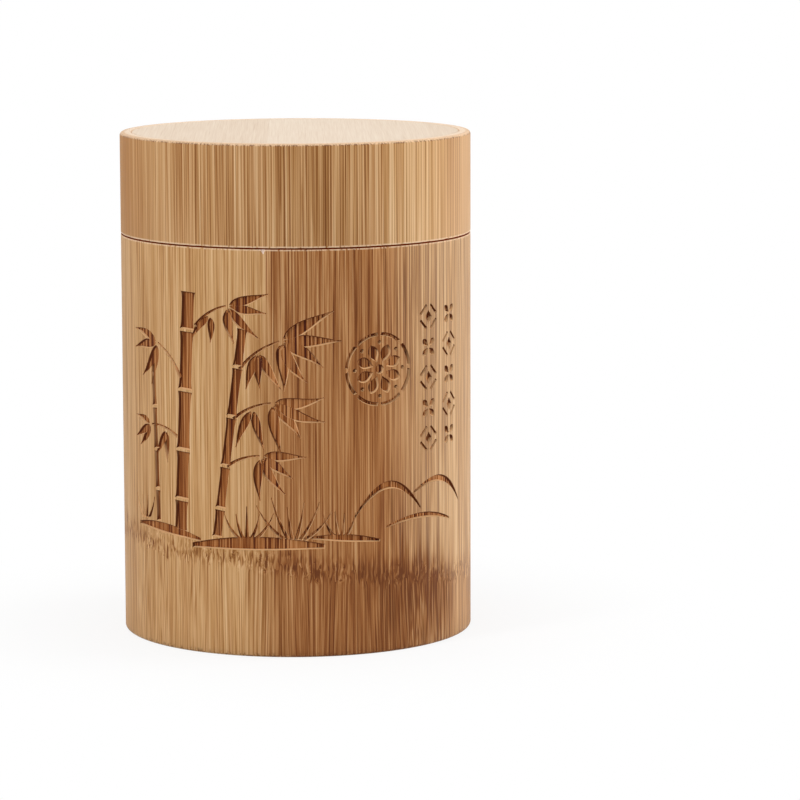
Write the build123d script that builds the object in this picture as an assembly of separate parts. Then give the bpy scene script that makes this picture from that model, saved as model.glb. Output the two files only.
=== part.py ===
from build123d import *
import os

# Tea canister turned from one bamboo culm, with a lid cut from the same culm.
# The frame stands on the foot: Z is up along the culm's axis, with zero at the foot's centre.
# The body is a length of culm wall, with a laminated board let into its foot and a thin neck
# ring let into its mouth. The lid is a shorter length of culm with a board let into its top.
# It slides down over the neck, past a silicone ring, until it stands on the body's rim.

# Driving sizes, in millimetres
outer_diameter = 105.0
body_height = 120.0

# Across the culm wall, from the outside in
lid_rim = 3.5
lid_board_ledge = 2.6
lid_clearance = 0.4
neck_wall = 3.0

# Up the lid, from the body's rim: the neck with its groove midway, then air, then the board
neck_land = 4.8
groove_height = 4.4
neck_headroom = 9.0
lid_board_thickness = 7.0

# Below the rim and at the foot
neck_seat_depth = 16.0
base_board_recess = 2.0
base_board_thickness = 7.0
base_board_ledge = 3.0

# Silicone ring, drawn as it lies squeezed between its groove and the lid's bore
groove_depth = 1.4
seal_play = 0.05
seal_rib_reach = 0.8
seal_rib_height = 1.0
seal_rib_round = 0.3

# Boards are glued up from even strips between two narrower end ones
lid_strip_count = 7
lid_end_strip = 9.0
base_strip_count = 6
base_end_strip = 14.0
glue_gap = 0.05

# Worked edges
lid_top_round = 0.9
seam_round = 0.4
foot_round = 0.8
neck_lead_in = 1.0
mouth_chamfer = 0.6
board_chamfer = 0.25

# Radii that follow
outer_radius = outer_diameter / 2
lid_board_radius = outer_radius - lid_rim
lid_bore_radius = lid_board_radius - lid_board_ledge
neck_radius = lid_bore_radius - lid_clearance
bore_radius = neck_radius - neck_wall
neck_seat_radius = neck_radius + glue_gap
base_board_radius = bore_radius + base_board_ledge
groove_radius = neck_radius - groove_depth
seal_inner_radius = groove_radius + seal_play
seal_rib_radius = lid_bore_radius - seal_play
seal_band_radius = seal_rib_radius - seal_rib_reach

# Levels that follow
base_board_level = base_board_recess + base_board_thickness
neck_seat_level = body_height - neck_seat_depth
groove_level = body_height + neck_land
groove_top_level = groove_level + groove_height
neck_top_level = groove_top_level + neck_land
lid_board_level = neck_top_level + neck_headroom
lid_top_level = lid_board_level + lid_board_thickness

# How near an edge has to be to the radius and level asked for
same_place = 1e-4


def post(radius, low, high):
    """A round post on the canister's axis, from one level to another."""
    align = (Align.CENTER, Align.CENTER, Align.MIN)
    return Pos(0, 0, low) * Cylinder(radius, high - low, align=align)


def pipe(outside, inside, low, high):
    """A straight pipe on the canister's axis."""
    return post(outside, low, high) - post(inside, low, high)


def rim_edges(solid, radius, level):
    """The round edges of a turned solid at one radius and one level."""

    def on_rim(edge):
        at_level = abs(edge.center().Z - level) < same_place
        return at_level and abs(edge.radius - radius) < same_place

    return solid.edges().filter_by(GeomType.CIRCLE).filter_by(on_rim)


def make_body_tube():
    """The culm wall, rabbeted at the mouth for the neck and at the foot for the base board."""
    tube = pipe(outer_radius, bore_radius, 0, body_height)
    tube -= post(neck_seat_radius, neck_seat_level, body_height)
    tube -= post(base_board_radius, 0, base_board_level)
    tube = fillet(rim_edges(tube, outer_radius, body_height), seam_round)
    tube = fillet(rim_edges(tube, outer_radius, 0), foot_round)
    return chamfer(rim_edges(tube, base_board_radius, 0), board_chamfer)


def make_neck_ring():
    """The thin ring that stands in the mouth and guides the lid, grooved for the seal."""
    ring = pipe(neck_radius, bore_radius, neck_seat_level, neck_top_level)
    ring -= pipe(neck_radius, groove_radius, groove_level, groove_top_level)
    ring = fillet(rim_edges(ring, neck_radius, neck_top_level), neck_lead_in)
    return chamfer(rim_edges(ring, bore_radius, neck_top_level), mouth_chamfer)


def make_seal_rib(low, high):
    """One rib of the seal, with its rubbing edges rounded."""
    rib = pipe(seal_rib_radius, seal_inner_radius, low, high)
    tips = rim_edges(rib, seal_rib_radius, low) + rim_edges(rib, seal_rib_radius, high)
    return fillet(tips, min(seal_rib_round, seal_rib_height / 3))


def make_seal_ring():
    """A flat silicone band with a rib along each edge that rubs on the lid's bore."""
    low = groove_level + seal_play
    high = groove_top_level - seal_play
    ring = pipe(seal_band_radius, seal_inner_radius, low, high)
    ring += make_seal_rib(low, low + seal_rib_height)
    return ring + make_seal_rib(high - seal_rib_height, high)


def make_lid_wall():
    """The lid's length of culm, bored to pass the neck and rabbeted for its board."""
    wall = pipe(outer_radius, lid_bore_radius, body_height, lid_top_level)
    wall -= post(lid_board_radius, lid_board_level, lid_top_level)
    wall = fillet(rim_edges(wall, outer_radius, lid_top_level), lid_top_round)
    wall = fillet(rim_edges(wall, outer_radius, body_height), seam_round)
    wall = chamfer(rim_edges(wall, lid_board_radius, lid_top_level), board_chamfer)
    return chamfer(rim_edges(wall, lid_bore_radius, body_height), mouth_chamfer)


def glue_lines(seat_radius, strip_count, end_strip):
    """Where the strips of a round board meet, from the left end strip to the right one."""
    first = end_strip - seat_radius
    strip_width = -2 * first / (strip_count - 2)
    return [first + strip_width * n for n in range(strip_count - 1)]


def make_board_strips(seat_radius, low, high, lines, shown_level):
    """A round board as separate strips, with a chamfer round the side that shows."""
    radius = seat_radius - glue_gap
    disc = post(radius, low, high)
    disc = chamfer(rim_edges(disc, radius, shown_level), board_chamfer)
    sides = [-radius, *lines, radius]
    strips = []
    for left, right in zip(sides, sides[1:]):
        slab = Box(right - left, 2 * radius, high - low)
        strips.append(disc & Pos((left + right) / 2, 0, (low + high) / 2) * slab)
    return strips


def make_lid_board():
    """The lid's board lies flush with the lid's top, with its best side up."""
    lines = glue_lines(lid_board_radius, lid_strip_count, lid_end_strip)
    return make_board_strips(lid_board_radius, lid_board_level, lid_top_level, lines, lid_top_level)


def make_base_board():
    """The base board lies a little above the foot, with its best side down."""
    lines = glue_lines(base_board_radius, base_strip_count, base_end_strip)
    low = base_board_recess
    return make_board_strips(base_board_radius, low, base_board_level, lines, low)


pieces = {
    "body_tube": make_body_tube(),
    "neck_ring": make_neck_ring(),
    "seal_ring": make_seal_ring(),
    "lid_wall": make_lid_wall(),
}
for number, strip in enumerate(make_lid_board(), 1):
    pieces[f"lid_board_strip_{number}"] = strip
for number, strip in enumerate(make_base_board(), 1):
    pieces[f"base_board_strip_{number}"] = strip

os.makedirs("parts", exist_ok=True)
for name, piece in pieces.items():
    export_step(piece, f"parts/{name}.step")
    print(name, round(piece.volume), "mm3")
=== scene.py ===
import bmesh
import bpy
import math
import random
from mathutils import Matrix, Vector, noise


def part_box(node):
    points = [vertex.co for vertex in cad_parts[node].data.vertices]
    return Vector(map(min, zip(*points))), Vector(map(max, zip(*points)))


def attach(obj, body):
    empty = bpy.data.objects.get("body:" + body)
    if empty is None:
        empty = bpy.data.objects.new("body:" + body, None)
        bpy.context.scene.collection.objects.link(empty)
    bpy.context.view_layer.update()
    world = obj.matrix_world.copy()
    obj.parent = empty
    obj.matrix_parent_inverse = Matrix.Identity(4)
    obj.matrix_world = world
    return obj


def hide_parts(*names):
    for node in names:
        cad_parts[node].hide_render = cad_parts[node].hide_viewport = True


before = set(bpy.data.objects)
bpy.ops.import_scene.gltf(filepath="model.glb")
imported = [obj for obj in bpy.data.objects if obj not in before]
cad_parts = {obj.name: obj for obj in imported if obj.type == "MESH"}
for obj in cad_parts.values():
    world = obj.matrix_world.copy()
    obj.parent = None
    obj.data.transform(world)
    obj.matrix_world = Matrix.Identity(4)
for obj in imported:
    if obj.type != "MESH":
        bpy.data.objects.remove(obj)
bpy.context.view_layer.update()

# Lengths here are millimetres until a mesh is finished, and angles are degrees
mm = 0.001


def nodeBox(node):
    low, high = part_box(node)
    return low / mm, high / mm


# Sizes that the frame gives
lidLow, lidHigh = nodeBox("lid_wall")
neckLow, neckHigh = nodeBox("neck_ring")
lidBoardLow, lidBoardHigh = nodeBox("lid_board_strip_4")
tubeHigh = nodeBox("body_tube")[1]
baseBoardHigh = nodeBox("base_board_strip_3")[1]
wallRadius = tubeHigh.x
seam = tubeHigh.z
lidTop = lidHigh.z
print("frame loaded:", len(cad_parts), "nodes")
print("wall radius", round(wallRadius, 2), "and seam at", round(seam, 2))


# Small helpers for shader trees
def plug(tree, socket, value):
    if isinstance(value, bpy.types.NodeSocket):
        tree.links.new(value, socket)
    else:
        socket.default_value = value


def put(tree, kind, wires=None, **settings):
    node = tree.nodes.new("ShaderNode" + kind)
    for name, value in settings.items():
        setattr(node, name, value)
    for socket, value in (wires or {}).items():
        plug(tree, node.inputs[socket], value)
    return node


def calc(tree, operation, *values):
    return put(tree, "Math", dict(enumerate(values)), operation=operation).outputs[0]


def vector(tree, operation, *values):
    # The result is the first output, or "Value" where it is a plain number
    return put(tree, "VectorMath", dict(enumerate(values)), operation=operation).outputs


def point(tree, *parts):
    return put(tree, "CombineXYZ", dict(enumerate(parts))).outputs[0]


def times(tree, product, *factors):
    for factor in factors:
        product = calc(tree, "MULTIPLY", product, factor)
    return product


def addUp(tree, *terms):
    # Each term is a plain value or a pair of a value and its weight
    total = 0.0
    for term in terms:
        value, weight = term if isinstance(term, tuple) else (term, 1.0)
        total = calc(tree, "MULTIPLY_ADD", value, weight, total)
    return total


def weigh(tree, values, base, weights):
    # A base, with each of the named values added to it by its weight
    return addUp(tree, base, *[(values[name], weight) for name, weight in weights.items()])


def fade(tree, value, start, end):
    # Runs smoothly from 0 at start to 1 at end, either way round
    wires = {"Value": value, "From Min": start, "From Max": end}
    return put(tree, "MapRange", wires, interpolation_type="SMOOTHSTEP").outputs[0]


def fadeUnder(tree, value, level, start, end):
    # A fade between two depths under a level
    return fade(tree, value, level - start, level - end)


def fadeFromZero(tree, value, start, end):
    return fade(tree, calc(tree, "ABSOLUTE", value), start, end)


def band(tree, value, middle, width):
    return fadeFromZero(tree, calc(tree, "SUBTRACT", value, middle), width, 0.0)


def stretched(tree, place, along):
    # Stretches a pattern up the wall: along is the factor for the height
    return vector(tree, "MULTIPLY", place, (1.0, 1.0, along))[0]


def mottle(tree, place, scale, detail=0.0):
    # Noise with its mean taken off
    wires = {"Vector": place, "Scale": scale, "Detail": detail, "Roughness": 0.5}
    return calc(tree, "SUBTRACT", put(tree, "TexNoise", wires).outputs[0], 0.5)


def streaks(tree, place, along, scale, detail=0.0):
    return mottle(tree, stretched(tree, place, along), scale, detail)


def rgb(red, green, blue):
    # A colour as read from a screen, 0 to 255, for a shader socket
    return tuple(math.pow((part / 255 + 0.055) / 1.055, 2.4) for part in (red, green, blue)) + (1.0,)


def tint(tree, amount, under, over):
    wires = {0: amount, 6: under, 7: over}
    return put(tree, "Mix", wires, data_type="RGBA").outputs[2]


def toneRamp(tree, tone, colours):
    # Colours spread evenly from tone 0 to tone 1
    node = put(tree, "ValToRGB", {"Fac": tone})
    elements = node.color_ramp.elements
    while len(elements) < len(colours):
        elements.new(0.5)
    for number, element in enumerate(elements):
        element.position = number / (len(colours) - 1)
    for element, colour in zip(elements, colours):
        element.color = rgb(*colour)
    return node.outputs["Color"]


def newMaterial(name, roughness):
    material = bpy.data.materials.new(name)
    material.use_nodes = True
    tree = material.node_tree
    skin = tree.nodes["Principled BSDF"]
    skin.inputs["Roughness"].default_value = roughness
    return material, tree, skin


def newGroup(name, wanted, given):
    # A node group whose inputs are a dictionary of names and values, and whose outputs are all numbers
    tree = bpy.data.node_groups.new(name, "ShaderNodeTree")
    for label, value in wanted.items():
        kind = "NodeSocketVector" if isinstance(value, tuple) else "NodeSocketFloat"
        tree.interface.new_socket(label, in_out="INPUT", socket_type=kind).default_value = value
    for label in given:
        tree.interface.new_socket(label, in_out="OUTPUT", socket_type="NodeSocketFloat")
    return tree, tree.nodes.new("NodeGroupInput").outputs, tree.nodes.new("NodeGroupOutput").inputs


def useGroup(tree, group, wires):
    node = put(tree, "Group", node_tree=group)
    for label, value in wires.items():
        plug(tree, node.inputs[label], value)
    return node.outputs


def placeInMm(tree):
    place = tree.nodes.new("ShaderNodeTexCoord").outputs["Object"]
    return put(tree, "VectorMath", {0: place, "Scale": 1 / mm}, operation="SCALE").outputs[0]


def cylinderParts(tree):
    # Place in millimetres, its parts, and how far it is from the axis
    place = placeInMm(tree)
    axes = put(tree, "SeparateXYZ", {0: place}).outputs
    radius = vector(tree, "LENGTH", point(tree, axes["X"], axes["Y"]))["Value"]
    return place, axes, radius


def acrossFrom(tree, axes, degrees):
    # How far round the wall a point lies from an angle, in millimetres, to the right
    angle = math.radians(degrees)
    return addUp(tree, (axes["X"], math.cos(angle)), (axes["Y"], math.sin(angle)))


def finishSkin(tree, skin, colour, roughness, relief, height):
    # The relief is as high as height, in millimetres, where it is 1
    wires = {"Height": relief, "Distance": height * mm, "Strength": 1.0}
    tree.links.new(colour, skin.inputs["Base Color"])
    tree.links.new(roughness, skin.inputs["Roughness"])
    tree.links.new(put(tree, "Bump", wires).outputs[0], skin.inputs["Normal"])


# Camera, as fitted to the photograph's outline of the canister
camera = {
    "place": (0.0, -1175.0, 237.3),
    "turnRight": 1.52,
    "tipDown": 8.186,
    "roll": -0.16,
    "lens": 176.5,
    "clipEnd": 100000.0,
}


def setCamera():
    lens = bpy.data.cameras.new("camera")
    lens.lens = camera["lens"]
    lens.clip_end = camera["clipEnd"] * mm
    eye = bpy.data.objects.new("camera", lens)
    bpy.context.scene.collection.objects.link(eye)
    turn = Matrix.Rotation(math.radians(-camera["turnRight"]), 4, "Z")
    tip = Matrix.Rotation(math.radians(90 - camera["tipDown"]), 4, "X")
    roll = Matrix.Rotation(math.radians(camera["roll"]), 4, "Z")
    eye.matrix_world = Matrix.Translation(Vector(camera["place"]) * mm) @ turn @ tip @ roll
    bpy.context.scene.camera = eye


# Light: a white room, with soft lamps as (place, width, power in watts)
light = {
    "room": 0.31,
    "lamps": {
        "right": ((1400.0, 100.0, 500.0), 900.0, 12.2),
        "left": ((-1050.0, -900.0, 1000.0), 320.0, 8.0),
        "top": ((0.0, -100.0, 1500.0), 1200.0, 8.9),
    },
}


def addLamp(name, place, width, power):
    lamp = bpy.data.lights.new(name + "Lamp", "AREA")
    lamp.shape = "DISK"
    lamp.size = width * mm
    lamp.energy = power
    holder = bpy.data.objects.new(name + "Lamp", lamp)
    # The low right lamp lies where the flat top would mirror it
    holder.visible_glossy = name != "right"
    bpy.context.scene.collection.objects.link(holder)
    aim = Vector((0.0, 0.0, lidTop / 2)) - Vector(place)
    turn = aim.to_track_quat("-Z", "Y").to_matrix().to_4x4()
    holder.matrix_world = Matrix.Translation(Vector(place) * mm) @ turn


def setRoom():
    world = bpy.data.worlds.new("whiteRoom")
    bpy.context.scene.world = world
    world.use_nodes = True
    tree = world.node_tree
    rays = tree.nodes.new("ShaderNodeLightPath").outputs
    seen = calc(tree, "MAXIMUM", rays["Is Camera Ray"], rays["Is Glossy Ray"])
    seen = calc(tree, "MAXIMUM", seen, rays["Is Transmission Ray"])
    strength = put(tree, "Mix", {0: seen, 2: light["room"], 3: 1.0}).outputs[0]
    background = tree.nodes["Background"]
    plug(tree, background.inputs["Color"], (1.0, 1.0, 1.0, 1.0))
    plug(tree, background.inputs["Strength"], strength)


# Floor: a pale plane, whose shadow under the canister fades with the distance from its foot
floor = {
    "size": 16000.0,
    "segments": 4,
    "colour": 0.93,
    "roughness": 0.9,
    "shadowFade": (140.0, 52.0),
    "shadowShare": 0.16,
    "clearRim": 1.0,
}


def setFloor():
    mesh = bmesh.new()
    segments = floor["segments"]
    bmesh.ops.create_grid(mesh, x_segments=segments, y_segments=segments, size=floor["size"] * mm / 2)
    data = bpy.data.meshes.new("floor")
    mesh.to_mesh(data)
    mesh.free()
    ground = bpy.data.objects.new("floor", data)
    bpy.context.scene.collection.objects.link(ground)
    material, tree, skin = newMaterial("paleFloor", floor["roughness"])
    plug(tree, skin.inputs["Base Color"], (*[floor["colour"]] * 3, 1.0))
    # The camera sees it white, with a soft shadow close to the foot
    away = vector(tree, "LENGTH", placeInMm(tree))["Value"]
    shadow = times(tree, fade(tree, away, *floor["shadowFade"]), floor["shadowShare"])
    fromCamera = tree.nodes.new("ShaderNodeLightPath").outputs["Is Camera Ray"]
    seen = times(tree, fromCamera, calc(tree, "SUBTRACT", 1.0, shadow))
    white = put(tree, "Emission", {"Color": (1.0, 1.0, 1.0, 1.0), "Strength": 1.0})
    lit = put(tree, "MixShader", {0: seen, 1: skin.outputs[0], 2: white.outputs[0]})
    # Clear from below, and open under the foot for all but the camera, so that the base board is lit
    behind = tree.nodes.new("ShaderNodeNewGeometry").outputs["Backfacing"]
    underFoot = calc(tree, "LESS_THAN", away, wallRadius + floor["clearRim"])
    opened = calc(tree, "MAXIMUM", behind, calc(tree, "SUBTRACT", underFoot, fromCamera))
    clear = tree.nodes.new("ShaderNodeBsdfTransparent")
    sides = put(tree, "MixShader", {0: opened, 1: lit.outputs[0], 2: clear.outputs[0]})
    tree.links.new(sides.outputs[0], tree.nodes["Material Output"].inputs["Surface"])
    data.materials.append(material)


# In the dictionaries below a fade is (from, to), a band (middle, width), a noise (scale, detail) and
# streaks (stretch, scale, detail). Tones and reliefs are a base with the weights of what adds to it.
# Tones run from 0 to 1 about the middle one
midTone = 0.5

# Fibres that run up the culm
fibres = {
    "lines": 2.0,
    "fine": 1.25,
    "hairs": 4.2,
    "bands": (0.42, 1.0),
    "dashes": (0.06, 2.4, 1.0),
    "patches": (0.3, 0.06, 1.0),
    "ends": (0.035, 0.95),
    "seams": 1.3,
    "seamWidth": (0.075, 0.02),
    "seamEnds": (-0.16, 0.1),
    "seamShares": (0.4, 0.6),
    "cracks": 0.8,
    "crackShift": (7.3, 3.1, 1.7),
    "crackWidth": (0.045, 0.012),
    "crackEnds": (0.12, -0.1),
    "tone": (0.11, {
        "lines": 1.1,
        "fine": 0.1,
        "hairs": 1.15,
        "dashes": 2.4,
        "bands": 0.36,
        "patches": 0.34,
        "seams": -0.25,
        "cracks": -0.24,
    }),
    "relief": (0.5, {"lines": 1.0, "dashes": 1.0, "seams": -0.5}),
}


def makeGrainGroup():
    # Run is how long the fibres keep their tone, and Dashes how broken they look
    wanted = {"Place": (0.0, 0.0, 0.0), "Run": 60.0, "Dashes": 0.3, "Bands": 0.4, "Contrast": 1.0}
    tree, given, results = newGroup("culmGrain", wanted, ("Tone", "Relief"))
    place = given["Place"]
    axes = put(tree, "SeparateXYZ", {0: place}).outputs
    long = point(tree, axes["X"], axes["Y"], calc(tree, "DIVIDE", axes["Z"], given["Run"]))
    layers = {name: mottle(tree, long, fibres[name]) for name in ("lines", "fine", "hairs")}
    layers["bands"] = times(tree, mottle(tree, long, *fibres["bands"]), given["Bands"])
    layers["dashes"] = times(tree, streaks(tree, place, *fibres["dashes"]), given["Dashes"])
    layers["patches"] = streaks(tree, place, *fibres["patches"])
    # Thin dark seams and cracks between the fibres, which come and go along their length
    ends = streaks(tree, place, *fibres["ends"])
    always, sometimes = fibres["seamShares"]
    share = addUp(tree, always, (fade(tree, ends, *fibres["seamEnds"]), sometimes))
    seams = fadeFromZero(tree, mottle(tree, long, fibres["seams"]), *fibres["seamWidth"])
    layers["seams"] = times(tree, seams, share)
    between = vector(tree, "ADD", long, fibres["crackShift"])[0]
    cracks = fadeFromZero(tree, mottle(tree, between, fibres["cracks"]), *fibres["crackWidth"])
    layers["cracks"] = times(tree, cracks, fade(tree, ends, *fibres["crackEnds"]))
    uneven = weigh(tree, layers, *fibres["tone"])
    plug(tree, results["Tone"], addUp(tree, midTone, (uneven, given["Contrast"])))
    plug(tree, results["Relief"], weigh(tree, layers, *fibres["relief"]))
    return tree


# Cut ends of the culm: fibre bundles as dark dots, closer together between the two depths under the bark
bundles = {
    "stretch": 0.05,
    "sparse": {"scale": 0.85, "edge": (0.3, 0.18)},
    "close": {"scale": 1.5, "edge": (0.42, 0.2)},
    "bark": (5.0, 1.5),
}


def addDots(tree, place, dots):
    cells = put(tree, "TexVoronoi", {"Vector": place, "Scale": dots["scale"]})
    return fade(tree, cells.outputs["Distance"], *dots["edge"])


def makeEndGroup():
    wanted = {"Place": (0.0, 0.0, 0.0), "Radius": 50.0}
    tree, given, results = newGroup("culmEnd", wanted, ("Dots",))
    flattened = stretched(tree, given["Place"], bundles["stretch"])
    bark = fadeUnder(tree, given["Radius"], wallRadius, *bundles["bark"])
    sparse = addDots(tree, flattened, bundles["sparse"])
    close = addDots(tree, flattened, bundles["close"])
    plug(tree, results["Dots"], put(tree, "Mix", {0: bark, 2: sparse, 3: close}).outputs[0])
    return tree


# Culm: its colours, from the darkest fibres to the palest, and what body and lid share
culm = {
    "beige": [(132, 80, 34), (168, 117, 62), (202, 155, 101), (221, 179, 130), (236, 202, 158)],
    "red": [(106, 54, 16), (140, 82, 36), (170, 114, 64), (192, 139, 89), (208, 162, 114)],
    "burnt": [(70, 20, 0), (108, 50, 10), (148, 86, 38), (180, 118, 66), (200, 142, 92)],
    "inside": [(160, 120, 74), (186, 148, 100), (206, 170, 122), (220, 188, 144)],
    "pit": (112, 64, 30),
    "gapShade": (134, 44, 0),
    "cut": (224, 196, 162),
    "rim": (240, 214, 186),
    "ledgeShaded": (92, 42, 10),
    "ledgeLit": (232, 184, 132),
    "paleSheen": (206, 174, 138),
    "farLeftShade": (184, 120, 48),
    "stainAndShade": (100, 52, 14),
    "wearAndHighlight": (240, 206, 170),
    "chip": (246, 222, 204),
    "roughness": 0.52,
    "gloss": 0.22,
    "relief": 0.03,
    "front": (12.0, -12.0),
    "bore": (50.0, 47.0),
    "skin": (1.0, 0.8),
    "nicks": (0.6, 1.3, 1.0),
}


def culmColour(tree, redness, tone):
    return tint(tree, redness, toneRamp(tree, tone, culm["beige"]), toneRamp(tree, tone, culm["red"]))


def paint(tree, colour, name, *shares):
    # Lays one of the culm's colours over what is there, by the product of the shares
    return tint(tree, times(tree, *shares), colour, rgb(*culm[name]))


def lacquer(skin):
    skin.inputs["Specular IOR Level"].default_value = culm["gloss"]


# Engraving: strokes with a flat burnt floor, sloping ledges and a small worn lip, shallower where thin
graver = {
    "depth": 0.8,
    "depthSpread": (0.9, 1.06),
    "slope": 0.3,
    "slopeShare": 0.45,
    "lip": 0.08,
    "thinnest": 0.14,
    "fullDepthAt": 0.55,
    "clear": 0.6,
    "margin": 1.3,
}

# How wide a stroke is along its length, from 0 at its start to 1 at its end
strokeShapes = {
    "leaf": lambda t: math.sin(math.pi * t ** 0.62) * (1 - 0.2 * t),
    "blade": lambda t: (1 - t) ** 0.8,
    "joint": lambda t: 1 + 0.2 * (2 * t - 1) ** 6,
    "twig": lambda t: 1 - 0.55 * t,
    "lozenge": lambda t: 1 - abs(2 * t - 1),
    "petal": lambda t: math.sin(math.pi * t ** 1.25) ** 0.7,
    "dot": lambda t: math.sqrt(max(0.0, 1 - (2 * t - 1) ** 2)),
    "bar": lambda t: 1.0,
    "swell": lambda t: 0.35 + 0.65 * math.sin(math.pi * t),
}


def onWall(across, level, radius):
    # Lays a point of the flat drawing round the wall: across is the arc from the front's middle
    angle = across / wallRadius
    return Vector((radius * math.sin(angle), -radius * math.cos(angle), level))


def makeBar(steps):
    # A closed unit bar, sliced along its length, once along its middle and into three levels
    bar = bmesh.new()
    bmesh.ops.create_cube(bar, size=1.0)
    cuts = [((number / steps - 0.5, 0, 0), (1, 0, 0)) for number in range(1, steps)]
    cuts += [((0, 0, 0), (0, 1, 0)), ((0, 0, -1 / 6), (0, 0, 1)), ((0, 0, 1 / 6), (0, 0, 1))]
    for place, way in cuts:
        parts = [*bar.verts, *bar.edges, *bar.faces]
        bmesh.ops.bisect_plane(bar, geom=parts, plane_co=place, plane_no=way)
    data = bpy.data.meshes.new("bar")
    bar.to_mesh(data)
    bar.free()
    return data


bars = {steps: makeBar(steps) for steps in (6, 8, 12, 24)}


def pickLayer(layers, low, high):
    # The first layer in which the new stroke touches no other: cutters that overlap go in layers of their own
    for mesh, taken in layers:
        clear = [high.x < a.x or low.x > b.x or high.y < a.y or low.y > b.y for a, b in taken]
        if all(clear):
            break
    else:
        mesh, taken = bmesh.new(), []
        layers.append((mesh, taken))
    taken.append((low, high))
    return mesh


def cutStroke(layers, shape, start, end, width, bend=0.0, steps=12, depth=None):
    # A bar from start to end, bowed sideways by bend, with half its width from the shape
    start = Vector(start)
    end = Vector(end)
    run = (end - start).normalized()
    side = Vector((-run.y, run.x))
    depth = depth or graver["depth"] * random.uniform(*graver["depthSpread"])
    bow = side * bend
    reach = Vector((1, 1)) * (width * graver["margin"] + graver["thinnest"] + 2 * graver["lip"])
    corners = [start, end, start + bow, end + bow]
    low = Vector((min(corner.x for corner in corners), min(corner.y for corner in corners))) - reach
    high = Vector((max(corner.x for corner in corners), max(corner.y for corner in corners))) + reach
    cutter = pickLayer(layers, low, high)
    before = len(cutter.verts)
    cutter.from_mesh(bars[steps])
    cutter.verts.ensure_lookup_table()
    for vert in cutter.verts[before:]:
        along = vert.co.x + 0.5
        half = max(width * strokeShapes[shape](along), graver["thinnest"])
        share = min(1.0, half / graver["fullDepthAt"])
        # Radius and added width of the bar's four levels, from the floor out
        levels = [
            (wallRadius - depth * share, -min(graver["slope"], half * graver["slopeShare"])),
            (wallRadius - graver["lip"], 0.0),
            (wallRadius + graver["lip"] / 4, graver["lip"]),
            (wallRadius + graver["clear"], graver["lip"]),
        ]
        radius, wider = levels[round((vert.co.z + 0.5) * 3)]
        spot = start.lerp(end, along) + run * wider * (2 * along - 1)
        spot += side * (bend * 4 * along * (1 - along) + vert.co.y * 2 * (half + wider))
        vert.co = onWall(spot.x, spot.y, radius)


# The drawing, on the flat: a bamboo grove on a low bank, a rosette, hills and two columns of ornaments
drawing = {
    "seed": 5,
    # Stems are (foot, lean, half width, lengths of the joints)
    "stems": [
        ((-37.5, 35.5), 3.0, 2.2, (9.0, 14.0, 17.0, 17.0, 11.0)),
        ((-24.5, 35.0), 8.0, 1.35, (8.0, 12.0, 14.0, 14.0, 11.0)),
        ((-47.0, 37.5), -2.5, 0.95, (9.0, 11.0, 12.0, 10.0)),
    ],
    "jointGap": 0.75,
    # Twigs are (start, end, bend)
    "twigs": [
        ((-17.0, 84.5), (-5.0, 93.0), 1.2),
        ((-19.0, 70.0), (-7.5, 75.0), 1.0),
        ((-21.0, 56.0), (-11.0, 59.5), 0.8),
        ((-31.5, 96.5), (-21.0, 103.0), 1.0),
        ((-37.0, 81.0), (-46.5, 90.5), -1.2),
        ((-38.5, 63.5), (-50.0, 66.0), -1.0),
    ],
    "twigWidth": 0.55,
    # Sprays are (root, heading, count, length)
    "sprays": [
        ((-5.0, 93.0), -28.0, 5, 17.0),
        ((-11.5, 90.0), -82.0, 3, 13.0),
        ((-7.5, 75.0), -38.0, 4, 16.0),
        ((-13.0, 73.5), -95.0, 2, 12.0),
        ((-11.0, 59.5), -45.0, 4, 13.0),
        ((-21.0, 103.0), -30.0, 4, 13.0),
        ((-26.0, 100.5), -110.0, 2, 10.0),
        ((-46.5, 90.5), -150.0, 4, 13.0),
        ((-50.0, 66.0), -160.0, 3, 11.0),
        ((-43.0, 65.5), -105.0, 2, 10.0),
    ],
    "leaf": {
        "fan": 30.0,
        "stray": 6.0,
        "lengths": (0.82, 1.08),
        "bend": 0.06,
        "stalk": 1.2,
        "leastWidth": 0.15,
        "widthPerLength": 0.11,
    },
    # Bank and hills are (start, end, bend, half width)
    "bank": [
        ((-58.0, 35.5), (-30.0, 33.6), 1.1, 1.5),
        ((-33.0, 31.9), (8.0, 32.8), 1.3, 2.0),
        ((4.0, 35.4), (25.0, 33.6), 0.5, 1.1),
    ],
    "hills": [
        ((17.0, 41.0), (40.0, 41.5), 8.5, 1.15),
        ((37.0, 46.5), (60.0, 41.5), 5.5, 0.95),
        ((27.0, 37.3), (54.0, 36.8), 2.4, 0.8),
    ],
    # Tufts are (root, count, height)
    "tufts": [
        ((-15.0, 34.6), 5, 10.0),
        ((-1.0, 34.8), 6, 13.0),
        ((12.5, 35.4), 4, 8.0),
        ((-54.0, 37.5), 4, 9.0),
    ],
    "blade": {"fan": 17.0, "stray": 4.0, "step": 1.1, "heights": (0.7, 1.05), "width": 0.62, "bend": -0.02},
    # Petals are (start, end, half width) out from a middle, and a bead's ends are (turn, reach)
    "rosette": {
        "middle": (25.0, 84.0),
        "petals": 8,
        "eye": 1.4,
        "petal": (2.3, 7.6, 1.65),
        "bead": ((21.9, 7.3), (23.1, 8.5), 0.6),
        "rim": {"radius": 10.3, "span": 19.5, "width": 0.55},
    },
    "columns": {
        "across": (43.5, 54.0),
        "top": 98.0,
        "step": 9.0,
        "rows": 5,
        "petal": (0.5, 3.4, 0.95),
        "lozenge": (1.8, 1.4),
        "corner": {"radius": 3.6, "turns": (14.0, 76.0), "width": 0.38},
    },
}


def ray(middle, degrees, distance):
    turn = math.radians(degrees)
    return Vector(middle) + Vector((math.cos(turn), math.sin(turn))) * distance


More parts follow.
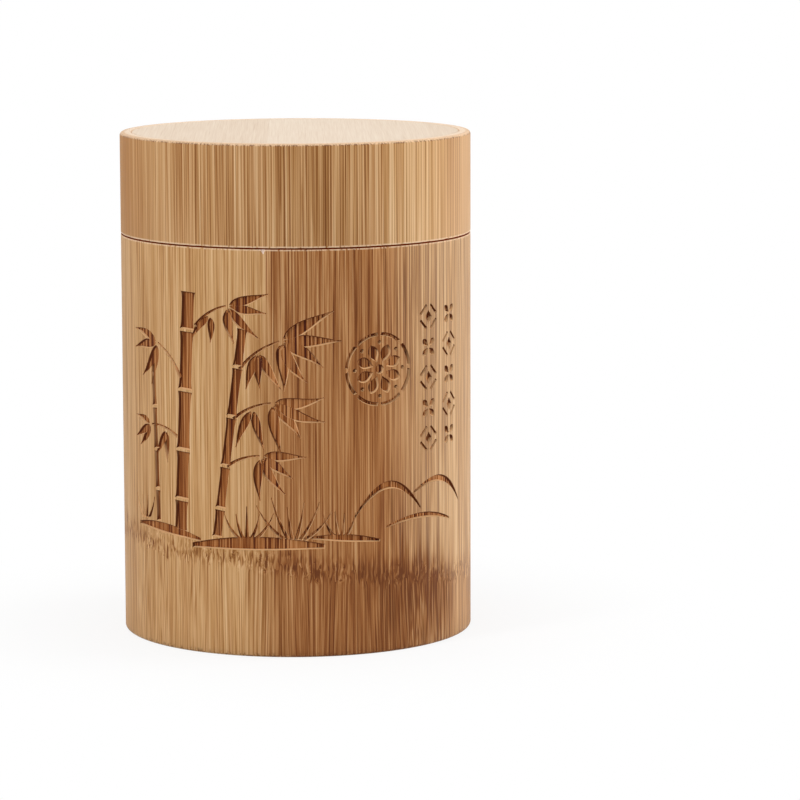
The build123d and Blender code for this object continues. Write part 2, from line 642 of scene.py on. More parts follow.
def drawGrove(layers):
    for foot, lean, width, joints in drawing["stems"]:
        low = Vector(foot)
        for length in joints:
            high = ray(low, 90 - lean, length)
            cutStroke(layers, "joint", low, high, width)
            low = ray(high, 90 - lean, drawing["jointGap"])
    for start, end, bend in drawing["twigs"]:
        cutStroke(layers, "twig", start, end, drawing["twigWidth"], bend)
    leaf = drawing["leaf"]
    for root, heading, count, length in drawing["sprays"]:
        width = leaf["widthPerLength"] * length + leaf["leastWidth"]
        for number in range(count):
            turn = heading + leaf["fan"] * (number - (count - 1) / 2)
            turn += random.uniform(-leaf["stray"], leaf["stray"])
            reach = length * random.uniform(*leaf["lengths"])
            bend = random.uniform(-leaf["bend"], leaf["bend"]) * reach
            cutStroke(layers, "leaf", ray(root, turn, leaf["stalk"]), ray(root, turn, reach), width, bend)


def drawBank(layers):
    for start, end, bend, width in drawing["bank"] + drawing["hills"]:
        cutStroke(layers, "swell", start, end, width, bend, steps=24)
    blade = drawing["blade"]
    for root, count, height in drawing["tufts"]:
        for number in range(count):
            place = number - (count - 1) / 2
            lean = place * blade["fan"] + random.uniform(-blade["stray"], blade["stray"])
            foot = Vector(root) + Vector((blade["step"] * place, 0.0))
            tip = ray(foot, 90 - lean, height * random.uniform(*blade["heights"]))
            cutStroke(layers, "blade", foot, tip, blade["width"], lean * blade["bend"])


def drawPetal(layers, middle, turn, petal, steps=12):
    start, end, width = petal
    cutStroke(layers, "petal", ray(middle, turn, start), ray(middle, turn, end), width, steps=steps)


def drawRosette(layers):
    rosette = drawing["rosette"]
    middle = rosette["middle"]
    eye = rosette["eye"]
    cutStroke(layers, "dot", ray(middle, 180, eye), ray(middle, 0, eye), eye)
    (startTurn, startReach), (endTurn, endReach), beadWidth = rosette["bead"]
    radius, span, width = rosette["rim"].values()
    sagitta = radius * (1 - math.cos(math.radians(span)))
    for number in range(rosette["petals"]):
        turn = 360 / rosette["petals"] * (number + 0.5)
        drawPetal(layers, middle, turn, rosette["petal"])
        start = ray(middle, turn + startTurn, startReach)
        end = ray(middle, turn + endTurn, endReach)
        cutStroke(layers, "dot", start, end, beadWidth, steps=8)
        start = ray(middle, turn - span, radius)
        end = ray(middle, turn + span, radius)
        cutStroke(layers, "bar", start, end, width, -sagitta)


def drawColumns(layers):
    columns = drawing["columns"]
    reach, lozengeWidth = columns["lozenge"]
    radius, (startTurn, endTurn), width = columns["corner"].values()
    for column, across in enumerate(columns["across"]):
        for row in range(columns["rows"]):
            middle = (across, columns["top"] - columns["step"] * row)
            if (row + column) % 2:
                for number in range(4):
                    drawPetal(layers, middle, 90 * number + 45, columns["petal"], steps=8)
            else:
                low = ray(middle, -90, reach)
                cutStroke(layers, "lozenge", ray(middle, 90, reach), low, lozengeWidth, steps=8)
                for number in range(4):
                    start = ray(middle, 90 * number + startTurn, radius)
                    end = ray(middle, 90 * number + endTurn, radius)
                    cutStroke(layers, "bar", start, end, width, steps=6)


def spinOutline(outline, steps):
    # Turns a closed outline of (radius, level) points into a ring round the axis
    mesh = bmesh.new()
    corners = [mesh.verts.new((radius, 0.0, level)) for radius, level in outline]
    edges = [mesh.edges.new(pair) for pair in zip(corners, corners[1:] + corners[:1])]
    around = {"cent": (0.0, 0.0, 0.0), "axis": (0.0, 0.0, 1.0), "angle": math.tau}
    bmesh.ops.spin(mesh, geom=corners + edges, steps=steps, use_merge=True, **around)
    bmesh.ops.recalc_face_normals(mesh, faces=mesh.faces)
    return mesh


def onRim(vert, radius, level, reach=0.01):
    return abs(math.hypot(vert.co.x, vert.co.y) - radius) < reach and abs(vert.co.z - level) < reach


def softenRim(mesh, radius, level, width, segments):
    edges = [edge for edge in mesh.edges if all(onRim(vert, radius, level) for vert in edge.verts)]
    how = {"offset_type": "OFFSET", "profile": 0.5, "affect": "EDGES", "material": -1}
    bmesh.ops.bevel(mesh, geom=edges, offset=width, segments=segments, **how)


# Wear of the two edges at the seam
wear = {"reach": 0.4, "scale": 1.1, "spared": 0.1, "depth": 0.3, "inwards": 0.4}


def wearRim(mesh, level, away):
    # Nibbles the worked edge next to a level, away from the level and towards the axis
    for vert in mesh.verts:
        radius = math.hypot(vert.co.x, vert.co.y)
        if radius > wallRadius - wear["reach"] and abs(vert.co.z - level) < wear["reach"]:
            bite = noise.noise(Vector((vert.co.x, vert.co.y, level)) * wear["scale"])
            nibble = max(0.0, bite - wear["spared"]) * wear["depth"]
            vert.co.z += away * nibble
            vert.co.xy *= 1 - nibble * wear["inwards"] / wallRadius


def finishMesh(name, mesh, material):
    data = bpy.data.meshes.new(name)
    mesh.to_mesh(data)
    mesh.free()
    piece = bpy.data.objects.new(name, data)
    bpy.context.scene.collection.objects.link(piece)
    data.materials.append(material)
    return piece


def carve(piece, layers):
    # Cuts each layer of cutters out of a piece in turn and keeps the result as the piece's own mesh
    tools = []
    for cutters, _ in layers:
        data = bpy.data.meshes.new("cutters")
        cutters.normal_update()
        bmesh.ops.recalc_face_normals(cutters, faces=cutters.faces)
        cutters.to_mesh(data)
        cutters.free()
        tool = bpy.data.objects.new("cutters", data)
        bpy.context.scene.collection.objects.link(tool)
        tools.append(tool)
        cut = piece.modifiers.new("carve", "BOOLEAN")
        cut.operation = "DIFFERENCE"
        cut.solver = "MANIFOLD"
        cut.object = tool
    shaped = piece.evaluated_get(bpy.context.evaluated_depsgraph_get())
    result = bpy.data.meshes.new_from_object(shaped)
    piece.modifiers.clear()
    piece.data = result
    for tool in tools:
        bpy.data.objects.remove(tool)


def settle(piece, rider, replaced, crispAngle=30):
    # From millimetres to metres, with smooth walls and crisp edges, then onto its body
    piece.data.transform(Matrix.Scale(mm, 4))
    piece.data.shade_smooth()
    piece.data.set_sharp_from_angle(angle=math.radians(crispAngle))
    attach(piece, rider)
    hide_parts(replaced)
    print(piece.name, "made:", len(piece.data.polygons), "faces")


# Body: one length of culm, turned smooth, with an engraved front and the grown node low down.
# Rounds and chamfers are (width, segments), and fades under a rim or under the bark are depths
body = {
    "steps": 360,
    "slices": 13,
    "bore": 43.0,
    "glueGap": 0.05,
    "seamGap": 0.32,
    "seamGapDepth": 0.7,
    "seamRound": (0.3, 3),
    "footRound": (0.8, 4),
    "boardChamfer": (0.25, 1),
    "chip": {
        "angle": -10.6,
        "above": 0.4,
        "foot": 118.3,
        "slant": 0.2,
        "width": 1.1,
        "depth": 0.45,
        "paleAcross": (0.1, 1.9),
        "paleLevels": (2.2, 1.9),
        "paleDepths": [(0.05, 0.12), (1.2, 1.0)],
        "paleFront": (0.0, -1.0),
    },
    "ring": {
        "level": 23.9,
        "slant": {"X": -6.7, "Y": -1.86},
        "waver": [(0.1, 4.0), (0.4, 2.4)],
        "curls": (0.3, 3.6),
        "under": (0.5, -0.5),
        "waves": (0.7, 0.42),
        "leanScale": 0.06,
        "stopScale": 1.1,
        "stopHeight": 9.0,
        "shift": (0.0, {"below": 23.0, "leaning": 0.22, "waving": 1.5}),
    },
    "sides": {
        "edgeAngle": -9.7,
        "edgeWidths": (0.2, 9.0),
        "edgeSoftens": (108.0, 94.0),
        "farRight": (30.0, 50.0),
        "palerShares": (0.65, 0.35),
        "palerAbove": (-3.0, 8.0),
        "redShares": (0.95, -0.75),
        "redBands": (0.03, 0.6, 1.0),
        "sharpens": (70.0, 104.0),
        "foot": (8.0, -2.0),
    },
    "feathers": {"streaks": (0.24, 1.35), "edge": (0.05, 0.14), "levels": (1.6, 6.0)},
    "flames": {
        "top": 4.5,
        "topNoise": (0.22, 1.0),
        "topSpread": 20.0,
        "topRight": 6.0,
        "foot": (-1.0, 0.4),
        "streaks": (0.1, 1.6, 1.0),
        "shares": (0.5, 3.6),
    },
    "roots": {"levels": (-22.0, -0.5), "streaks": (0.012, 0.62), "width": (0.05, 0.012)},
    "scars": {
        "tear": (0.9, 1.0),
        "tearPush": 2.4,
        "stretch": 0.5,
        "scale": 0.46,
        "level": 1.0,
        "levels": (4.0, 2.4),
        "groupScale": 0.2,
        "groups": (-0.08, 0.0),
        "dark": (0.27, 0.1),
        "halo": (0.34, 0.14),
    },
    "patch": {
        "angle": 34.7,
        "left": (-20.0, -5.0),
        "right": (26.0, 18.0),
        "top": 13.0,
        "topNoise": (0.7, 1.0),
        "topSpread": 44.0,
        "topFull": -1.0,
        "foot": (-32.0, -5.0),
        "streaks": (0.03, 1.6, 1.0),
        "shares": (0.85, 3.2),
    },
    "grain": {"Run": 115.0, "Bands": 0.45},
    "dashes": (0.13, {"curls": 0.04, "right": -0.03}),
    "contrast": (0.57, {"right": 0.14, "sharper": 0.28, "under": 0.02, "farRight": 0.5}),
    "tone": (0.03, {
        "flames": -0.3,
        "roots": -0.22,
        "feathers": -0.28,
        "scars": -0.42,
        "halos": 0.16,
        "patch": -0.12,
        "right": -0.08,
        "farRight": -0.02,
        "foot": -0.09,
    }),
    "redness": (0.1, {"red": 1.0, "redBands": 0.8, "flames": 0.35, "patch": 0.2, "roots": 0.2}),
    "paleSheenShare": 0.35,
    "stainAndShadeShare": 0.42,
    "carved": {
        "levels": (3.0, 5.0),
        "depths": [(0.05, 0.16), (3.0, 2.0)],
        "charContrast": 1.9,
        "lightWay": (-0.6, 0.0, 0.8),
        "open": (-0.25, 0.3),
        "floor": (0.55, 0.85),
    },
    "edges": {
        "end": (0.15, 0.03),
        "endShare": 0.8,
        "foot": (1.8, 0.3),
        "footNicks": (0.03, 0.14),
        "footShare": 0.7,
        "mouth": (0.3, 0.34),
        "mouthNicks": (-0.2, 0.05),
        "mouthShare": 0.8,
        "gapFoot": (0.14, 0.04),
        "gapTop": (0.01, 0.04),
    },
    "roughness": (0.48, {"sunk": 0.3, "inside": 0.15, "gapShade": 0.5, "relief": 0.08}),
}


def drawChip(layers):
    # A small chip out of the body's mouth edge
    chip = body["chip"]
    across = math.radians(chip["angle"]) * wallRadius
    start = (across, seam + chip["above"])
    end = (across + chip["slant"], chip["foot"])
    cutStroke(layers, "blade", start, end, chip["width"], steps=6, depth=chip["depth"])


def makeBody(material):
    neckSeat = neckHigh.x + body["glueGap"]
    boardSeat = baseBoardHigh.y + body["glueGap"]
    rim = seam - body["seamGap"]
    outline = [
        (wallRadius, 0.0),
        (wallRadius, rim),
        (wallRadius - body["seamGapDepth"], rim),
        (wallRadius - body["seamGapDepth"], seam),
        (neckSeat, seam),
        (neckSeat, neckLow.z),
        (body["bore"], neckLow.z),
        (body["bore"], baseBoardHigh.z),
        (boardSeat, baseBoardHigh.z),
        (boardSeat, 0.0),
    ]
    mesh = spinOutline(outline, body["steps"])
    softenRim(mesh, wallRadius, rim, *body["seamRound"])
    softenRim(mesh, wallRadius, 0.0, *body["footRound"])
    softenRim(mesh, boardSeat, 0.0, *body["boardChamfer"])
    wearRim(mesh, rim, -1)
    # Slices keep the wall's faces short where the engraving cuts into them
    for number in range(1, body["slices"]):
        level = (0.0, 0.0, seam * number / body["slices"])
        parts = [*mesh.verts, *mesh.edges, *mesh.faces]
        bmesh.ops.bisect_plane(mesh, geom=parts, plane_co=level, plane_no=(0.0, 0.0, 1.0))
    piece = finishMesh("body_culm", mesh, material)
    layers = []
    for draw in (drawGrove, drawBank, drawRosette, drawColumns, drawChip):
        draw(layers)
    print("engraving drawn in", len(layers), "layers")
    carve(piece, layers)
    settle(piece, "body", "body_tube")


def ringMarks(tree, place, axes, flat):
    # The grown node, a slanting, wavering ring, and where the fibres' pattern is read round it
    ring = body["ring"]
    slant = [(axes[axis], rise / wallRadius) for axis, rise in ring["slant"].items()]
    waver = [(mottle(tree, flat, scale), height) for scale, height in ring["waver"]]
    above = calc(tree, "SUBTRACT", axes["Z"], addUp(tree, ring["level"], *slant))
    above = calc(tree, "SUBTRACT", above, addUp(tree, *waver))
    curls = band(tree, above, *ring["curls"])
    under = fade(tree, above, *ring["under"])
    # Fibres waver a little at the ring, lean below it, and each stops there at a level of its own
    stops = addUp(tree, above, (mottle(tree, flat, ring["stopScale"]), ring["stopHeight"]))
    marks = {
        "above": above,
        "curls": curls,
        "under": under,
        "stops": stops,
        "below": calc(tree, "LESS_THAN", stops, 0.0),
        "waving": times(tree, streaks(tree, place, *ring["waves"]), curls),
        "leaning": times(tree, mottle(tree, flat, ring["leanScale"]), above, under),
    }
    shift = point(tree, weigh(tree, marks, *ring["shift"]))
    return marks, vector(tree, "ADD", place, shift)[0]


def sideMarks(tree, axes, bent, above):
    # Soft beige to the left of a sharp tone edge under the mouth, redder to its right, paler again far right
    # as a painted sheen, and darker low on the right as painted shade
    sides = body["sides"]
    pastEdge = acrossFrom(tree, axes, sides["edgeAngle"])
    sharp, soft = sides["edgeWidths"]
    width = addUp(tree, sharp, (fade(tree, axes["Z"], *sides["edgeSoftens"]), soft))
    right = fade(tree, calc(tree, "DIVIDE", pastEdge, width), -1.0, 1.0)
    front = fade(tree, axes["Y"], *culm["front"])
    farRight = times(tree, fade(tree, pastEdge, *sides["farRight"]), front)
    least, more = sides["palerShares"]
    paler = addUp(tree, least, (fade(tree, above, *sides["palerAbove"]), more))
    paler = times(tree, farRight, paler)
    most, less = sides["redShares"]
    return {
        "right": right,
        "front": front,
        "farRight": farRight,
        "paler": paler,
        "red": times(tree, right, addUp(tree, most, (paler, less)), front),
        "redBands": streaks(tree, bent, *sides["redBands"]),
        "sharper": times(tree, right, fade(tree, axes["Z"], *sides["sharpens"])),
        # Painted shade: darker low on the right, under the ring
        "foot": times(tree, right, fade(tree, above, *sides["foot"])),
    }


def unevenStreaks(tree, place, mark):
    share, spread = mark["shares"]
    return addUp(tree, share, (streaks(tree, place, *mark["streaks"]), spread))


def flameMarks(tree, place, bent, flat, marks):
    # Short dark dashes feather out of the ring, taller brown flames stand on it, roots run down from it
    above = marks["above"]
    feathers = body["feathers"]
    dashes = fade(tree, streaks(tree, place, *feathers["streaks"]), *feathers["edge"])
    flames = body["flames"]
    top = addUp(tree, flames["top"], (mottle(tree, flat, *flames["topNoise"]), flames["topSpread"]))
    top = addUp(tree, top, (marks["right"], flames["topRight"]))
    flameFoot = fade(tree, marks["stops"], *flames["foot"])
    roots = body["roots"]
    rootLines = fadeFromZero(tree, streaks(tree, bent, *roots["streaks"]), *roots["width"])
    return {
        "feathers": times(tree, dashes, band(tree, above, *feathers["levels"])),
        "flames": times(tree, fade(tree, above, top, 0.0), flameFoot, unevenStreaks(tree, bent, flames)),
        "roots": times(tree, fade(tree, above, *roots["levels"]), marks["below"], rootLines),
    }


def scarMarks(tree, place, flat, above):
    # Scars of the sheath: dark specks with pale edges, here and there
    scars = body["scars"]
    push = times(tree, mottle(tree, place, *scars["tear"]), scars["tearPush"])
    torn = vector(tree, "ADD", stretched(tree, place, scars["stretch"]), point(tree, push, push, push))[0]
    cells = put(tree, "TexVoronoi", {"Vector": torn, "Scale": scars["scale"]}).outputs["Distance"]
    near = fadeFromZero(tree, calc(tree, "SUBTRACT", above, scars["level"]), *scars["levels"])
    near = times(tree, near, fade(tree, mottle(tree, flat, scars["groupScale"]), *scars["groups"]))
    return {
        "scars": times(tree, fade(tree, cells, *scars["dark"]), near),
        "halos": times(tree, band(tree, cells, *scars["halo"]), near),
    }


def patchMark(tree, axes, bent, flat, marks):
    # A patch under the ring, low on the right: a real stain, darkened further by painted shade
    patch = body["patch"]
    across = acrossFrom(tree, axes, patch["angle"])
    top = addUp(tree, patch["top"], (mottle(tree, flat, *patch["topNoise"]), patch["topSpread"]))
    between = times(tree, fade(tree, across, *patch["left"]), fade(tree, across, *patch["right"]))
    hanging = times(tree, between, fade(tree, marks["above"], top, patch["topFull"]))
    hanging = times(tree, hanging, fade(tree, marks["above"], *patch["foot"]))
    return times(tree, hanging, unevenStreaks(tree, bent, patch), marks["front"])


def engravingMark(tree, axes, radius):
    carved = body["carved"]
    levels = times(
        tree,
        fade(tree, axes["Z"], *carved["levels"]),
        fadeUnder(tree, axes["Z"], seam, *carved["levels"]),
    )
    return times(tree, levels, *[fadeUnder(tree, radius, wallRadius, *depths) for depths in carved["depths"]])


def paintEngraving(tree, colour, flat, sunk, tone):
    # A burnt floor in which the fibres stand out, and ledges with painted light and shade: dark where they
    # face down and to the right, pale where they face up and to the left, as if lit from the upper left
    carved = body["carved"]
    normal = tree.nodes.new("ShaderNodeTexCoord").outputs["Normal"]
    outward = vector(tree, "DOT_PRODUCT", normal, vector(tree, "NORMALIZE", flat)[0])["Value"]
    opened = vector(tree, "DOT_PRODUCT", normal, carved["lightWay"])["Value"]
    ledges = paint(tree, rgb(*culm["ledgeShaded"]), "ledgeLit", fade(tree, opened, *carved["open"]))
    char = addUp(tree, midTone, (calc(tree, "SUBTRACT", tone, midTone), carved["charContrast"]))
    floorColour = toneRamp(tree, char, culm["burnt"])
    engraved = tint(tree, fade(tree, outward, *carved["floor"]), ledges, floorColour)
    return tint(tree, sunk, colour, engraved)


def chipMark(tree, axes, radius):
    chip = body["chip"]
    chipped = times(
        tree,
        band(tree, acrossFrom(tree, axes, chip["angle"]), *chip["paleAcross"]),
        fadeUnder(tree, axes["Z"], seam, *chip["paleLevels"]),
    )
    for depths in chip["paleDepths"]:
        chipped = times(tree, chipped, fadeUnder(tree, radius, wallRadius, *depths))
    return times(tree, chipped, fade(tree, axes["Y"], *chip["paleFront"]))


def gapMark(tree, axes, radius):
    # Painted shade in the recess at the seam and on the edge under it
    edges = body["edges"]
    gapShade = times(
        tree,
        fadeUnder(tree, axes["Z"], seam - body["seamGap"], *edges["gapFoot"]),
        fadeUnder(tree, axes["Z"], seam, *edges["gapTop"]),
    )
    return times(tree, gapShade, fadeUnder(tree, radius, wallRadius, *culm["skin"]))


def paintBodyEdges(tree, colour, place, axes, dots, chipped):
    # Cut ends show the fibre bundles as dots
    edges = body["edges"]
    onEnd = calc(
        tree,
        "MAXIMUM",
        fadeUnder(tree, axes["Z"], seam, *edges["end"]),
        fade(tree, axes["Z"], *edges["end"]),
    )
    colour = paint(tree, colour, "cut", onEnd, edges["endShare"])
    colour = paint(tree, colour, "pit", onEnd, dots)
    # Wear: dark pits at the foot, a pale edge at the mouth that is rubbed and carries a painted highlight,
    # and the chip
    nicks = streaks(tree, place, *culm["nicks"])
    footEdge = times(tree, fade(tree, axes["Z"], *edges["foot"]), fade(tree, nicks, *edges["footNicks"]))
    colour = paint(tree, colour, "pit", footEdge, edges["footShare"])
    depth, width = edges["mouth"]
    mouthEdge = band(tree, axes["Z"], seam - body["seamGap"] - depth, width)
    mouthEdge = times(tree, mouthEdge, fade(tree, nicks, *edges["mouthNicks"]))
    colour = paint(tree, colour, "wearAndHighlight", mouthEdge, edges["mouthShare"])
    return paint(tree, colour, "chip", chipped)


def bodyMaterial(grainGroup, endGroup):
    material, tree, skin = newMaterial("bodyBamboo", culm["roughness"])
    place, axes, radius = cylinderParts(tree)
    flat = point(tree, axes["X"], axes["Y"])
    marks, bent = ringMarks(tree, place, axes, flat)
    marks.update(sideMarks(tree, axes, bent, marks["above"]))
    marks.update(flameMarks(tree, place, bent, flat, marks))
    marks.update(scarMarks(tree, place, flat, marks["above"]))
    marks["patch"] = patchMark(tree, axes, bent, flat, marks)
    marks["sunk"] = engravingMark(tree, axes, radius)
    marks["inside"] = fade(tree, radius, *culm["bore"])
    marks["gapShade"] = gapMark(tree, axes, radius)
    wires = {
        "Place": bent,
        "Dashes": weigh(tree, marks, *body["dashes"]),
        "Contrast": weigh(tree, marks, *body["contrast"]),
        **body["grain"],
    }
    grain = useGroup(tree, grainGroup, wires)
    marks["relief"] = grain["Relief"]
    tone = addUp(tree, grain["Tone"], weigh(tree, marks, *body["tone"]))
    colour = culmColour(tree, weigh(tree, marks, *body["redness"]), tone)
    # Painted sheen: paler far right on the front, less over the patch
    paleSheenMask = calc(tree, "SUBTRACT", marks["paler"], marks["patch"])
    colour = paint(tree, colour, "paleSheen", paleSheenMask, body["paleSheenShare"])
    # The patch: a stain with painted shade over it
    colour = paint(tree, colour, "stainAndShade", marks["patch"], body["stainAndShadeShare"])
    colour = paintEngraving(tree, colour, flat, marks["sunk"], grain["Tone"])
    # Inside, the culm is paler and plainer
    colour = tint(tree, marks["inside"], colour, toneRamp(tree, grain["Tone"], culm["inside"]))
    dots = useGroup(tree, endGroup, {"Place": place, "Radius": radius})["Dots"]
    colour = paintBodyEdges(tree, colour, place, axes, dots, chipMark(tree, axes, radius))
    # Painted shade, dark brown, in the recess at the seam
    colour = paint(tree, colour, "gapShade", marks["gapShade"])
    lacquer(skin)
    finishSkin(tree, skin, colour, weigh(tree, marks, *body["roughness"]), marks["relief"], culm["relief"])
    return material


# Lid: a shorter length of culm, with its own run of grain
lid = {
    "steps": 360,
    "bore": 46.4,
    "topRound": (0.9, 4),
    "mouthRound": (0.15, 2),
    "mouthChamfer": (0.6, 1),
    "grainShift": (31.0, 17.0, 5.0),
    "grain": {"Run": 220.0, "Dashes": 0.02, "Bands": 0.16},
    "sides": (34.0, 50.0),
    "redBands": (0.01, 0.8, 1.0),
    "middle": (0.0, 30.0),
    "farLeft": (-42.0, -51.0),
    "farRight": (38.0, 51.0),
    "paleAngle": 44.0,
    "pale": (0.0, 17.0),
    "contrast": (0.86, {"sides": -0.34}),
    "tone": (0.01, {"pale": 0.13, "middle": -0.08, "farLeft": -0.06}),
    "redness": (0.34, {"redBands": 0.7, "pale": -0.3}),
    "farLeftShadeShare": 0.4,
    "farRightSheenShare": 0.2,
    "edges": {
        "rounded": (0.75, 0.35),
        "roundedShare": 0.7,
        "top": (0.06, 0.02),
        "topInside": (1.2, 1.8),
        "dots": (0.1, 0.02),
        "dotShare": 0.3,
        "under": (-0.03, -0.01),
        "gapShadeEdge": (0.05, -0.05),
        "ticks": (0.5, 0.42),
        "tickTones": (0.6, 0.42),
        "tickShare": 0.75,
        "mouth": (0.25, 0.42),
        "mouthNicks": (-0.22, 0.0),
        "mouthShare": 0.85,
    },
    "roughness": (0.48, {"inside": 0.15, "under": 0.4, "relief": 0.08}),
}


def makeLid(material):
    boardSeat = lidBoardHigh.y + body["glueGap"]
    outline = [
        (wallRadius, lidLow.z),
        (wallRadius, lidTop),
        (boardSeat, lidTop),
        (boardSeat, lidBoardLow.z),
        (lid["bore"], lidBoardLow.z),
        (lid["bore"], lidLow.z),
    ]
    mesh = spinOutline(outline, lid["steps"])
    softenRim(mesh, wallRadius, lidTop, *lid["topRound"])
    softenRim(mesh, wallRadius, lidLow.z, *lid["mouthRound"])
    softenRim(mesh, boardSeat, lidTop, *body["boardChamfer"])
    softenRim(mesh, lid["bore"], lidLow.z, *lid["mouthChamfer"])
    wearRim(mesh, lidLow.z, 1)
    piece = finishMesh("lid_culm", mesh, material)
    settle(piece, "lid", "lid_wall")


def paintLidTop(tree, colour, axes, radius, dots, marks):
    # Pale cut ends, and a rounded rim that is rubbed pale and carries a painted highlight
    edges = lid["edges"]
    rounded = fadeUnder(tree, axes["Z"], lidTop, *edges["rounded"])
    colour = paint(tree, colour, "wearAndHighlight", rounded, edges["roundedShare"])
    onTop = fadeUnder(tree, axes["Z"], lidTop, *edges["top"])
    onTop = times(tree, onTop, fadeUnder(tree, radius, wallRadius, *edges["topInside"]))
    colour = paint(tree, colour, "cut", marks["under"])
    colour = paint(tree, colour, "rim", onTop)
    dotted = times(tree, fadeUnder(tree, axes["Z"], lidTop, *edges["dots"]), edges["dotShare"])
    dotted = calc(tree, "MAXIMUM", dotted, marks["under"])
    return paint(tree, colour, "pit", dotted, dots)


def paintLidEdges(tree, colour, place, axes, radius, tone, marks):
    # Painted shade: the outer edge of the underside, over the recess at the seam, is painted dark
    edges = lid["edges"]
    shadedUnderEdge = fadeUnder(tree, radius, wallRadius - body["seamGapDepth"], *edges["gapShadeEdge"])
    colour = paint(tree, colour, "gapShade", shadedUnderEdge, marks["under"])
    # The dark fibres end in small dark ticks under the rim
    depth, width = edges["ticks"]
    ticks = times(tree, band(tree, axes["Z"], lidTop - depth, width), fade(tree, tone, *edges["tickTones"]))
    ticks = times(tree, ticks, fadeUnder(tree, radius, wallRadius, *culm["skin"]))
    colour = paint(tree, colour, "pit", ticks, edges["tickShare"])
    # A pale edge at the mouth, rubbed and with a painted highlight
    nicks = streaks(tree, place, *culm["nicks"])
    height, width = edges["mouth"]
    mouthEdge = band(tree, axes["Z"], seam + height, width)
    mouthEdge = times(tree, mouthEdge, fade(tree, nicks, *edges["mouthNicks"]))
    return paint(tree, colour, "wearAndHighlight", mouthEdge, edges["mouthShare"])


def lidMaterial(grainGroup, endGroup):
    material, tree, skin = newMaterial("lidBamboo", culm["roughness"])
    place, axes, radius = cylinderParts(tree)
    shifted = vector(tree, "ADD", place, lid["grainShift"])[0]
    front = fade(tree, axes["Y"], *culm["front"])
    # On the front, the darker middle is painted shade and the pale band right of it a painted highlight
    pale = band(tree, acrossFrom(tree, axes, lid["paleAngle"]), *lid["pale"])
    marks = {
        "sides": fadeFromZero(tree, axes["X"], *lid["sides"]),
        "redBands": streaks(tree, shifted, *lid["redBands"]),
        "middle": times(tree, band(tree, axes["X"], *lid["middle"]), front),
        "farLeft": times(tree, fade(tree, axes["X"], *lid["farLeft"]), front),
        "farRight": times(tree, fade(tree, axes["X"], *lid["farRight"]), front),
        "pale": times(tree, pale, front),
        "inside": fade(tree, radius, *culm["bore"]),
        "under": fadeUnder(tree, axes["Z"], seam, *lid["edges"]["under"]),
    }
    contrast = weigh(tree, marks, *lid["contrast"])
    grain = useGroup(tree, grainGroup, {"Place": shifted, "Contrast": contrast, **lid["grain"]})
    marks["relief"] = grain["Relief"]
    tone = addUp(tree, grain["Tone"], weigh(tree, marks, *lid["tone"]))
    colour = culmColour(tree, weigh(tree, marks, *lid["redness"]), tone)
    # On the front, painted shade far left and a painted sheen far right
    colour = paint(tree, colour, "farLeftShade", marks["farLeft"], lid["farLeftShadeShare"])
    colour = paint(tree, colour, "wearAndHighlight", marks["farRight"], lid["farRightSheenShare"])
    colour = tint(tree, marks["inside"], colour, toneRamp(tree, grain["Tone"], culm["inside"]))
    dots = useGroup(tree, endGroup, {"Place": shifted, "Radius": radius})["Dots"]
    colour = paintLidTop(tree, colour, axes, radius, dots, marks)
    colour = paintLidEdges(tree, colour, place, axes, radius, grain["Tone"], marks)
    lacquer(skin)
    finishSkin(tree, skin, colour, weigh(tree, marks, *lid["roughness"]), marks["relief"], culm["relief"])
    return material


# Boards: pale strips whose grain runs front to back, each of its own tone
boards = {
    "seed": 8,
    "tones": [(205, 176, 146), (225, 203, 179), (238, 221, 201), (245, 232, 216)],
    "toneSpread": 0.14,
    "shiftSpread": 40.0,
    "grain": {"Run": 90.0, "Dashes": 0.05, "Bands": 0.5, "Contrast": 0.28},
    "plainRoughness": 0.56,
    "roughness": (0.53, {"Relief": 0.1}),
    "relief": 0.012,
}


def boardMaterial(name, grainGroup, lift, shift):
    material, tree, skin = newMaterial(name, boards["plainRoughness"])
    axes = put(tree, "SeparateXYZ", {0: placeInMm(tree)}).outputs
    turned = point(tree, calc(tree, "ADD", axes["X"], shift), axes["Z"], axes["Y"])
    grain = useGroup(tree, grainGroup, {"Place": turned, **boards["grain"]})
    colour = toneRamp(tree, addUp(tree, grain["Tone"], lift), boards["tones"])
    roughness = weigh(tree, grain, *boards["roughness"])
    lacquer(skin)
    finishSkin(tree, skin, colour, roughness, grain["Relief"], boards["relief"])
    return material


# Neck: a ring of paler culm, unlacquered
neck = {
    "tones": [(168, 126, 82), (194, 154, 108), (212, 176, 132), (226, 194, 154)],
    "grain": {"Run": 80.0, "Dashes": 0.1, "Bands": 0.5, "Contrast": 0.8},
    "end": (0.4, 0.05),
    "plainRoughness": 0.5,
    "roughness": (0.48, {"Relief": 0.1}),
    "relief": 0.02,
}


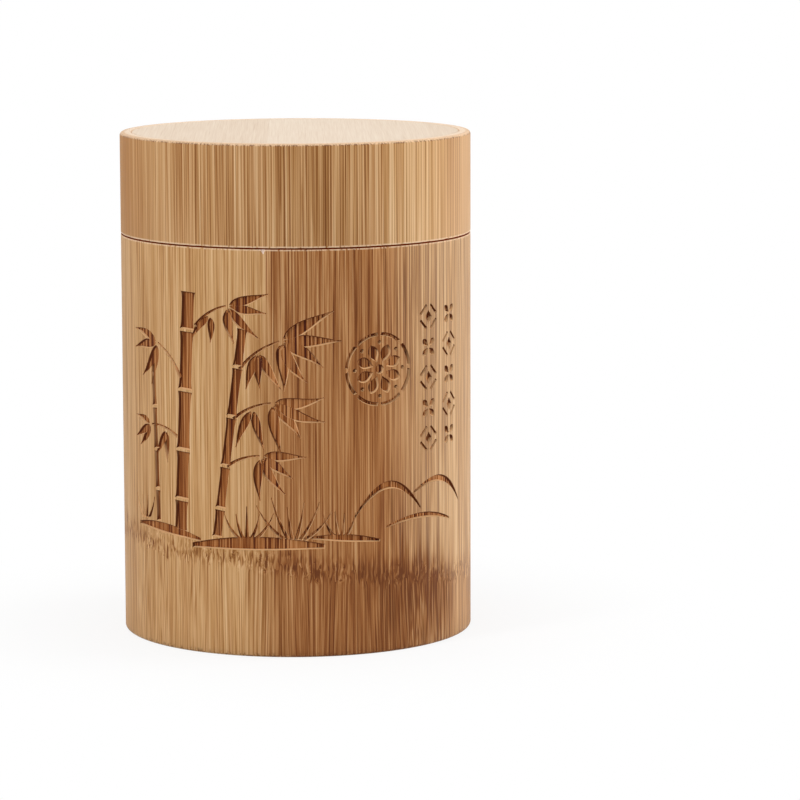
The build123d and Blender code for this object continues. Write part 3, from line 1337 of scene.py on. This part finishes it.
def neckMaterial(grainGroup, endGroup):
    material, tree, skin = newMaterial("neckBamboo", neck["plainRoughness"])
    place, axes, radius = cylinderParts(tree)
    grain = useGroup(tree, grainGroup, {"Place": place, **neck["grain"]})
    dots = useGroup(tree, endGroup, {"Place": place, "Radius": radius})["Dots"]
    onEnd = fadeUnder(tree, axes["Z"], neckHigh.z, *neck["end"])
    colour = paint(tree, toneRamp(tree, grain["Tone"], neck["tones"]), "pit", onEnd, dots)
    finishSkin(tree, skin, colour, weigh(tree, grain, *neck["roughness"]), grain["Relief"], neck["relief"])
    return material


# Seal: milky silicone, with a little dust on it
seal = {
    "clean": (222, 222, 214),
    "dusty": (205, 200, 188),
    "dust": (0.8, 3.0),
    "dustEdge": (-0.05, 0.2),
    "plainRoughness": 0.4,
    "roughness": (0.34, 0.2),
    "relief": 0.01,
    "milky": 0.25,
    "milkyDepth": 1.0,
}


def sealMaterial():
    material, tree, skin = newMaterial("sealSilicone", seal["plainRoughness"])
    dust = fade(tree, mottle(tree, placeInMm(tree), *seal["dust"]), *seal["dustEdge"])
    colour = tint(tree, dust, rgb(*seal["clean"]), rgb(*seal["dusty"]))
    clean, more = seal["roughness"]
    finishSkin(tree, skin, colour, addUp(tree, clean, (dust, more)), dust, seal["relief"])
    skin.inputs["Subsurface Weight"].default_value = seal["milky"]
    skin.inputs["Subsurface Radius"].default_value = (1.0, 1.0, 1.0)
    skin.inputs["Subsurface Scale"].default_value = seal["milkyDepth"] * mm
    return material


def dress(node, material):
    # A CAD node keeps its shape and gets a new finish
    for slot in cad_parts[node].material_slots:
        slot.material = material


def dressBoards(grainGroup):
    draws = random.Random(boards["seed"])
    spread = boards["shiftSpread"]
    for node in sorted(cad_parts):
        if "board_strip" in node:
            lift = draws.uniform(-1, 1) * boards["toneSpread"]
            dress(node, boardMaterial(node + "Bamboo", grainGroup, lift, draws.uniform(-spread, spread)))


random.seed(drawing["seed"])
bpy.context.scene.view_settings.view_transform = "Standard"
setCamera()
setRoom()
setFloor()
for lampName, lampSettings in light["lamps"].items():
    addLamp(lampName, *lampSettings)
print("room, floor and lamps set")

grainGroup = makeGrainGroup()
endGroup = makeEndGroup()
makeBody(bodyMaterial(grainGroup, endGroup))
makeLid(lidMaterial(grainGroup, endGroup))
dress("neck_ring", neckMaterial(grainGroup, endGroup))
dress("seal_ring", sealMaterial())
dressBoards(grainGroup)
print("neck, seal and boards dressed")
